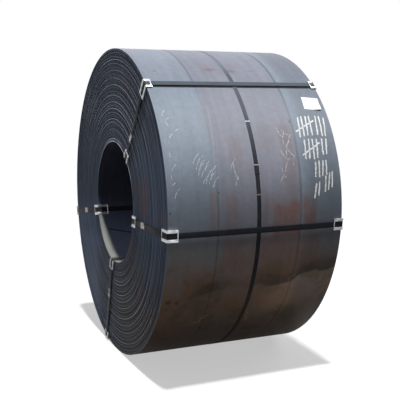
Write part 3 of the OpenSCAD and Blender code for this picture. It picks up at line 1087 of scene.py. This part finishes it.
def show(tree, output, bounced, seen):
    """Shows one shader to camera, glossy and transmission rays, and the other to the rest."""
    path = tree.nodes.new("ShaderNodeLightPath")
    mask = path.outputs["Is Camera Ray"]
    for ray in ("Is Glossy Ray", "Is Transmission Ray"):
        most = tree.nodes.new("ShaderNodeMath")
        most.operation = "MAXIMUM"
        tree.links.new(mask, most.inputs[0])
        tree.links.new(path.outputs[ray], most.inputs[1])
        mask = most.outputs[0]
    out = tree.nodes.new(output)
    tree.links.new(blend(tree, mask, bounced, seen).outputs[0], out.inputs["Surface"])


def lamp(name, kind, target, aim, distance, energy):
    """Adds a light that looks back at its target along the aim."""
    clear_selection()
    bpy.ops.object.light_add(type=kind, location=target + aim * distance,
                             rotation=aim.to_track_quat("Z", "Y").to_euler())
    light = bpy.context.active_object
    light.name = name
    light.data.energy = energy
    return light


class STEELCOIL_OT_stage(bpy.types.Operator):
    """Set up the pale floor, the soft light and the camera"""
    bl_idname = "steelcoil.stage"
    bl_label = "Stage"

    def execute(self, context):
        stage = context.scene.coil_stage
        context.scene.view_settings.view_transform = "Standard"
        self.floor(stage)
        self.backdrop(context.scene, stage)
        self.lights(stage)
        self.camera(context.scene)
        return {"FINISHED"}

    def floor(self, stage):
        """Pale floor that keeps the coil's shadow."""
        clear_selection()
        bpy.ops.mesh.primitive_plane_add(size=80)
        floor = named("floor")
        material = bpy.data.materials.new("pale_floor")
        material.use_nodes = True
        tree = material.node_tree
        tree.nodes.clear()
        pale = plain_shader(tree, "ShaderNodeBsdfDiffuse", [stage.floor_grey] * 3)
        glow = plain_shader(tree, "ShaderNodeEmission", WHITE)
        lift = tree.nodes.new("ShaderNodeMath")
        lift.operation = "MULTIPLY_ADD"
        lift.inputs[1].default_value = CAMERA_LIFT
        lift.inputs[2].default_value = SHADOW_LIFT
        path = tree.nodes.new("ShaderNodeLightPath")
        tree.links.new(path.outputs["Is Camera Ray"], lift.inputs[0])
        dim = plain_shader(tree, "ShaderNodeBsdfDiffuse", FLOOR_BOUNCE)
        show(tree, "ShaderNodeOutputMaterial", dim, blend(tree, lift.outputs[0], pale, glow))
        floor.data.materials.append(material)

    def backdrop(self, scene, stage):
        """White behind the coil, with even light from all round."""
        scene.world = bpy.data.worlds.new("studio")
        scene.world.use_nodes = True
        tree = scene.world.node_tree
        tree.nodes.clear()
        even = plain_shader(tree, "ShaderNodeBackground", SKY_TINT)
        even.inputs["Strength"].default_value = stage.fill
        show(tree, "ShaderNodeOutputWorld", even, plain_shader(tree, "ShaderNodeBackground", WHITE))

    def lights(self, stage):
        """High sun, a soft box that only shows as a sheen on the girth, and a lamp for the far end."""
        flat = math.cos(stage.key_side)
        aim = Vector((-math.sin(stage.key_side), -flat * math.cos(stage.key_height),
                      flat * math.sin(stage.key_height)))
        key = lamp("key", "SUN", Vector(), aim, SUN_DISTANCE, stage.key_strength)
        key.data.angle = SUN_SIZE
        box = lamp("soft_box", "AREA", SHEEN_TARGET, SHEEN_AIM, SHEEN_DISTANCE, stage.sheen_power)
        box.data.size = SHEEN_SIZE
        box.visible_diffuse = False
        far = lamp("far_lamp", "AREA", FAR_TARGET, FAR_AIM, FAR_DISTANCE, stage.far_power)
        far.data.size = FAR_SIZE

    def camera(self, scene):
        """Camera that sees the coil as the photo does."""
        clear_selection()
        turn = (math.radians(90 - CAMERA_DOWN), 0.0, math.radians(CAMERA_TURN))
        bpy.ops.object.camera_add(location=CAMERA_PLACE, rotation=turn)
        camera = bpy.context.active_object
        camera.name = "view"
        camera.data.sensor_width = SENSOR_WIDTH
        camera.data.lens = CAMERA_LENS
        scene.camera = camera


# Sidebar and registration

class STEELCOIL_PT_sidebar(bpy.types.Panel):
    """Lists the steps that build the coil"""
    bl_idname = "STEELCOIL_PT_sidebar"
    bl_label = "Steel coil"
    bl_space_type = "VIEW_3D"
    bl_region_type = "UI"
    bl_category = "Steel Coil"

    def draw(self, context):
        for step in STEPS:
            self.layout.operator(step.bl_idname)
        for group in (context.scene.coil_sizes, context.scene.coil_colours, context.scene.coil_stage):
            box = self.layout.box()
            for key in group.bl_rna.properties.keys():
                if key not in ("rna_type", "name"):
                    box.prop(group, key)


STEPS = (STEELCOIL_OT_coil, STEELCOIL_OT_hoop, STEELCOIL_OT_straps, STEELCOIL_OT_guards, STEELCOIL_OT_label,
         STEELCOIL_OT_chalk, STEELCOIL_OT_stage)
GROUPS = {"coil_sizes": CoilSizes, "coil_colours": CoilColours, "coil_stage": CoilStage}


def register():
    for key, group in GROUPS.items():
        bpy.utils.register_class(group)
        setattr(bpy.types.Scene, key, bpy.props.PointerProperty(type=group))
    for step in STEPS:
        bpy.utils.register_class(step)
    bpy.utils.register_class(STEELCOIL_PT_sidebar)


def unregister():
    bpy.utils.unregister_class(STEELCOIL_PT_sidebar)
    for step in reversed(STEPS):
        bpy.utils.unregister_class(step)
    for key, group in GROUPS.items():
        delattr(bpy.types.Scene, key)
        bpy.utils.unregister_class(group)


def main():
    register()
    bpy.ops.steelcoil.coil()
    bpy.ops.steelcoil.hoop()
    bpy.ops.steelcoil.straps()
    bpy.ops.steelcoil.guards()
    bpy.ops.steelcoil.label()
    bpy.ops.steelcoil.chalk()
    bpy.ops.steelcoil.stage()


if __name__ == "__main__":
    main()
